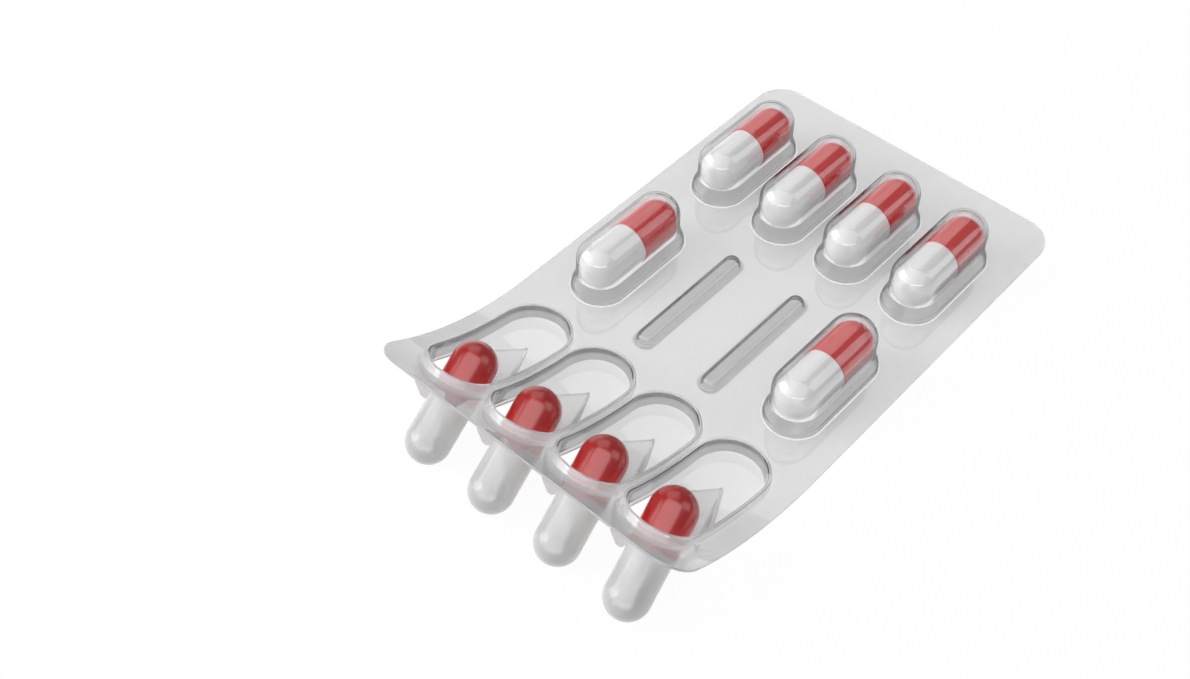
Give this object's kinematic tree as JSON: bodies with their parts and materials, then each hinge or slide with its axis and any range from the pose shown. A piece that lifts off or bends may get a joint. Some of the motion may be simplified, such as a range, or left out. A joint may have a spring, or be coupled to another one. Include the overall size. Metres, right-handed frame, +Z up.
{
  "type": "pill blister pack",
  "caption": "Clear formed blister pack of two-piece capsules, with closed pockets, stiffening ribs and burst pockets at its bent-up end.",
  "frame": {"origin": "middle of the pack's footprint, on the surface it rests on", "axes": "+X across the columns of pockets, +Y along the pack to its flat far end, +Z up"},
  "size_m": [0.0606, 0.1071, 0.0155],
  "materials": {
    "clear_film": "glossy, clear",
    "lidding": "thin translucent film",
    "red_shell": "glossy",
    "white_shell": "glossy"
  },
  "bodies": {
    "root": {"blister_film": "clear_film", "lidding_film": "lidding", "capsule_cap_1": "red_shell", "capsule_cap_2": "red_shell", "capsule_cap_3": "red_shell", "capsule_cap_4": "red_shell", "capsule_cap_5": "red_shell", "capsule_cap_6": "red_shell", "capsule_cap_7": "red_shell", "capsule_cap_8": "red_shell", "capsule_cap_9": "red_shell", "capsule_cap_10": "red_shell", "capsule_body_1": "white_shell", "capsule_body_2": "white_shell", "capsule_body_3": "white_shell", "capsule_body_4": "white_shell", "capsule_body_5": "white_shell", "capsule_body_6": "white_shell", "capsule_body_7": "white_shell", "capsule_body_8": "white_shell", "capsule_body_9": "white_shell", "capsule_body_10": "white_shell"}
  },
  "joints": []
}
